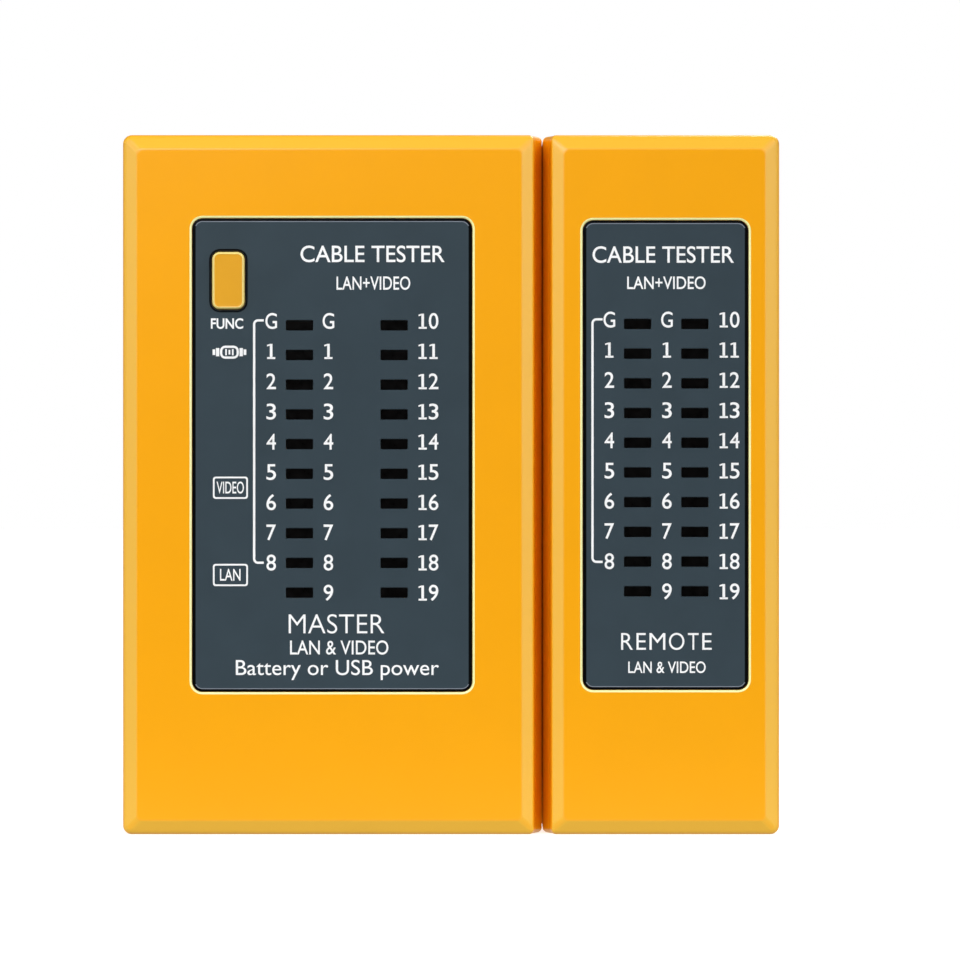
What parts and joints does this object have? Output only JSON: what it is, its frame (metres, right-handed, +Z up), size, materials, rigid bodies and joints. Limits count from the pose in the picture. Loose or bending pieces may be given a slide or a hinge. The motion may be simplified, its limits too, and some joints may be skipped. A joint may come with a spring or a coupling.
{
  "type": "network cable tester",
  "caption": "Hand-held network and video cable tester: a master unit with a push button and lamp columns, and a slimmer remote unit that slides off its side.",
  "frame": {"origin": "centre of the box's bottom face, on the surface that the pair stands on", "axes": "+Z up along the cases from their bottom ends to the socket ends, +X from the master unit to the remote unit, -Y out of the front panels"},
  "size_m": [0.0976, 0.0264, 0.104],
  "materials": {
    "shell_plastic": "fine moulded grain, satin",
    "button_plastic": "smooth",
    "panel_overlay": "smooth printed overlay",
    "smoked_lamp": "smoked clear plastic",
    "black_plastic": "moulded",
    "circuit_board": "solder mask",
    "socket_steel": "nickel-plated sheet",
    "screw_steel": "zinc-plated",
    "contact_gold": "gold-plated",
    "battery_can": "printed metal can",
    "lead_red": "insulated wire",
    "lead_black": "insulated wire"
  },
  "bodies": {
    "master": {"master_front_shell": "shell_plastic", "master_rear_shell": "shell_plastic", "master_panel": "panel_overlay", "master_lamp_bar_left": "smoked_lamp", "master_lamp_bar_right": "smoked_lamp", "master_board": "circuit_board", "master_lan_shield": "socket_steel", "master_lan_housing": "black_plastic", "master_lan_contacts": "contact_gold", "master_video_shell": "socket_steel", "master_video_tongue": "black_plastic", "master_case_screw_1": "screw_steel", "master_case_screw_2": "screw_steel", "master_case_screw_3": "screw_steel", "master_case_screw_4": "screw_steel", "master_board_screw_1": "screw_steel", "master_board_screw_2": "screw_steel", "switch_body": "black_plastic", "controller_chip": "black_plastic", "capacitor": "black_plastic", "usb_shell": "socket_steel", "usb_tongue": "black_plastic", "battery_case": "battery_can", "battery_stud_positive": "socket_steel", "battery_stud_negative": "socket_steel", "snap_connector": "black_plastic", "lead_red": "lead_red", "lead_black": "lead_black"},
    "button": {"function_button": "button_plastic", "switch_plunger": "black_plastic"},
    "battery_door": {"battery_door": "shell_plastic"},
    "remote": {"remote_front_shell": "shell_plastic", "remote_rear_shell": "shell_plastic", "remote_panel": "panel_overlay", "remote_lamp_bar_left": "smoked_lamp", "remote_lamp_bar_right": "smoked_lamp", "remote_board": "circuit_board", "remote_lan_shield": "socket_steel", "remote_lan_housing": "black_plastic", "remote_lan_contacts": "contact_gold", "remote_video_shell": "socket_steel", "remote_video_tongue": "black_plastic", "remote_case_screw_1": "screw_steel", "remote_case_screw_2": "screw_steel", "remote_case_screw_3": "screw_steel", "remote_case_screw_4": "screw_steel", "remote_board_screw_1": "screw_steel", "remote_board_screw_2": "screw_steel", "driver_chip": "black_plastic"}
  },
  "joints": [
    {"name": "remote_slide", "type": "slide", "parent": "master", "child": "remote", "axis": [0, 0, 1], "range_m": [0, 0.0915]},
    {"name": "button_press", "type": "slide", "parent": "master", "child": "button", "axis": [0, 1, 0], "range_m": [0, 0.0005], "stiffness_N_per_m": 800, "springref_m": -0.001},
    {"name": "door_swing", "type": "hinge", "parent": "master", "child": "battery_door", "pos_m": [-0.0177, 0.01325, 0.0036], "axis": [-1, 0, 0], "range_deg": [0, 75]}
  ]
}
